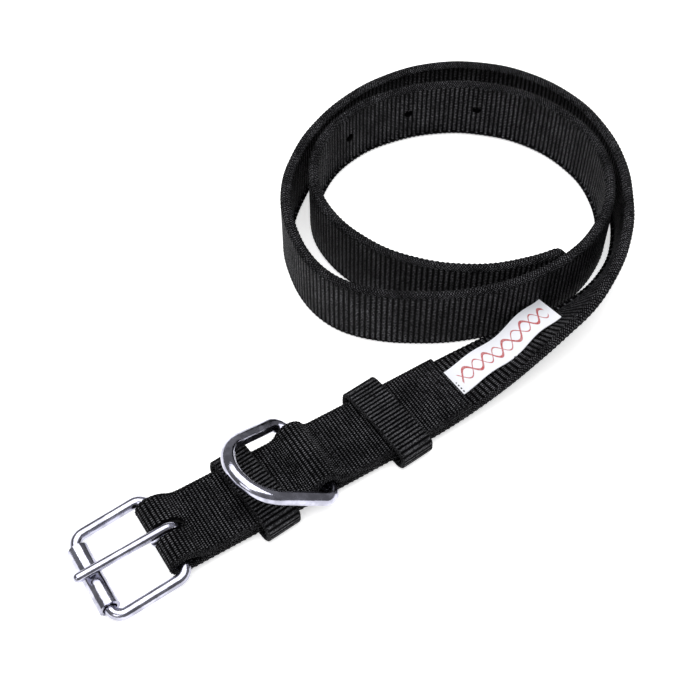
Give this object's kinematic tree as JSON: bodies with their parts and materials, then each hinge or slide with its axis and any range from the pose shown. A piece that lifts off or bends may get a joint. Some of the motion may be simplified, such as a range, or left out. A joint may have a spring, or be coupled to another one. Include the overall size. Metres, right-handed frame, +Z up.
{
  "type": "webbing belt with roller buckle",
  "caption": "Heavy woven webbing belt with a one-prong roller buckle, a D-ring, two webbing keepers and a sewn label.",
  "frame": {"origin": "on the surface the belt lies on, under the middle of its bounding box", "axes": "+X along the flat stretch from the buckle to the coil, +Z up; the free end stands on edge in two turns at the +X end"},
  "size_m": [0.3996, 0.2339, 0.0404],
  "materials": {
    "webbing": "ribbed heavy nylon weave",
    "keeper_webbing": "narrow ribbed nylon weave",
    "thread": "twisted polyester sewing thread",
    "plated_steel": "bright nickel plate",
    "label_cloth": "smooth woven label with a red printed pattern"
  },
  "bodies": {
    "belt": {"strap": "webbing", "label": "label_cloth", "seam_by_buckle": "thread", "seam_before_ring": "thread", "seam_after_ring": "thread", "seam_at_tail_end": "thread"},
    "buckle": {"buckle_frame": "plated_steel"},
    "roller": {"buckle_roller": "plated_steel"},
    "prong": {"buckle_prong": "plated_steel"},
    "ring": {"d_ring": "plated_steel"},
    "front_keeper": {"keeper_by_buckle": "keeper_webbing"},
    "rear_keeper": {"keeper_by_label": "keeper_webbing"}
  },
  "joints": [
    {"name": "buckle_swing", "type": "hinge", "parent": "belt", "child": "buckle", "pos_m": [-0.1511, -0.0865, 0.0105], "axis": [0, 1, 0], "range_deg": [-45, 45]},
    {"name": "prong_swing", "type": "hinge", "parent": "buckle", "child": "prong", "pos_m": [-0.1511, -0.0865, 0.0105], "axis": [0, 1, 0], "range_deg": [0, 75]},
    {"name": "roller_spin", "type": "hinge", "parent": "buckle", "child": "roller", "pos_m": [-0.19077, -0.0865, 0.0054], "axis": [0, 1, 0], "continuous": true},
    {"name": "ring_swing", "type": "hinge", "parent": "belt", "child": "ring", "pos_m": [-0.0701, -0.0865, 0.0112], "axis": [-0.0349, 0.9994, 0], "range_deg": [-6, 130]},
    {"name": "front_keeper_slide", "type": "slide", "parent": "belt", "child": "front_keeper", "axis": [1, 0, 0], "range_m": [-0.021, 0.005]},
    {"name": "rear_keeper_slide", "type": "slide", "parent": "belt", "child": "rear_keeper", "axis": [1, 0, 0], "range_m": [-0.024, 0.005]}
  ]
}
